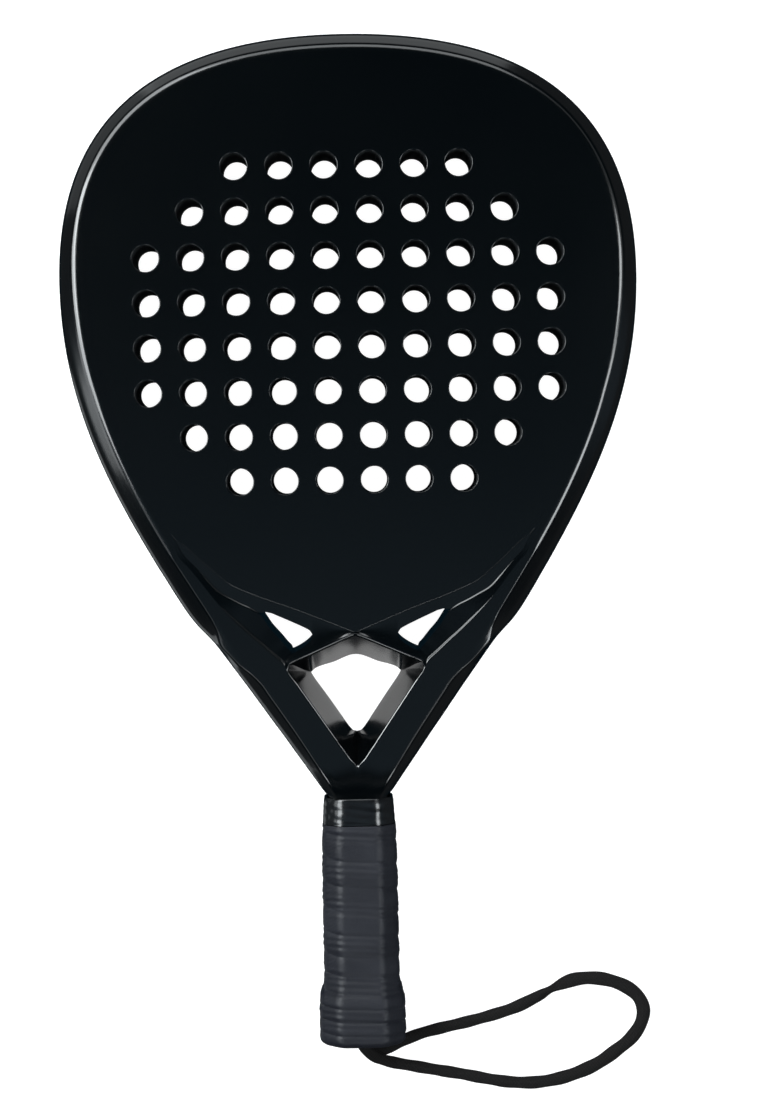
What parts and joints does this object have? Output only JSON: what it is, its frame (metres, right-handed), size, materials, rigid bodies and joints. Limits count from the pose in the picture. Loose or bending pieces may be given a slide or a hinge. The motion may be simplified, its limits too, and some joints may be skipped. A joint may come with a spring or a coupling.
{
  "type": "padel racket",
  "caption": "Teardrop padel racket with a perforated face, a crossed throat bridge, a wrapped grip and a wrist strap.",
  "frame": {"origin": "middle of the racket's footprint without its strap, on the surface it lies on", "axes": "+Y from the handle to the head, +X to the right seen from the front face, +Z out of the front face"},
  "size_m": [0.2621, 0.4828, 0.038],
  "materials": {
    "lacquered_carbon": "gloss black lacquer over carbon laminate, with a faint teal tint",
    "core_foam": "fine closed-cell foam, dark grey",
    "handle_foam": "moulded rigid foam, pale tan",
    "cushion_grip": "soft perforated cushion band, matt",
    "overgrip": "soft synthetic wrap, charcoal, matt with a slight sheen",
    "finishing_tape": "glossy black stretched film",
    "cap_plastic": "moulded black plastic, fine grain",
    "strap_webbing": "soft braided cord, black"
  },
  "bodies": {
    "root": {"frame_tube": "lacquered_carbon", "throat_bridge": "lacquered_carbon", "eva_core": "core_foam", "front_face_sheet": "lacquered_carbon", "back_face_sheet": "lacquered_carbon", "handle_pallet_front": "handle_foam", "handle_pallet_back": "handle_foam", "base_grip": "cushion_grip", "overgrip": "overgrip", "finishing_tape": "finishing_tape", "butt_cap": "cap_plastic", "wrist_strap": "strap_webbing", "strap_knot": "strap_webbing"}
  },
  "joints": []
}
